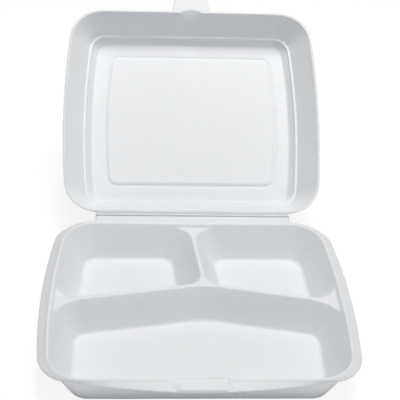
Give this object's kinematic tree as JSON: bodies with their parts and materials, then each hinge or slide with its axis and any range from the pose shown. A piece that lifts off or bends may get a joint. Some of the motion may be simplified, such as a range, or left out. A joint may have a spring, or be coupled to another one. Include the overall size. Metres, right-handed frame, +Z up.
{
  "type": "foam clamshell container",
  "caption": "White foam takeaway box: a shallow tray with a wide front compartment and two rear ones, and a stepped lid with a front tab, hinged at the back and shown open.",
  "frame": {"origin": "middle of the flat underside of the front compartment, on the surface the tray stands on", "axes": "+Z up out of the tray, +X along the hinge to the viewer's right, +Y from the front compartment back to the hinge and the open lid"},
  "size_m": [0.2408, 0.3855, 0.1624],
  "materials": {
    "foam": "white closed-cell polystyrene foam with a smooth, faintly satin skin"
  },
  "bodies": {
    "tray": {"tray": "foam"},
    "lid": {"lid": "foam"}
  },
  "joints": [
    {"name": "lid_hinge", "type": "hinge", "parent": "tray", "child": "lid", "pos_m": [0, 0.15, 0.03015], "axis": [1, 0, 0], "range_deg": [-27, 142.8]}
  ]
}
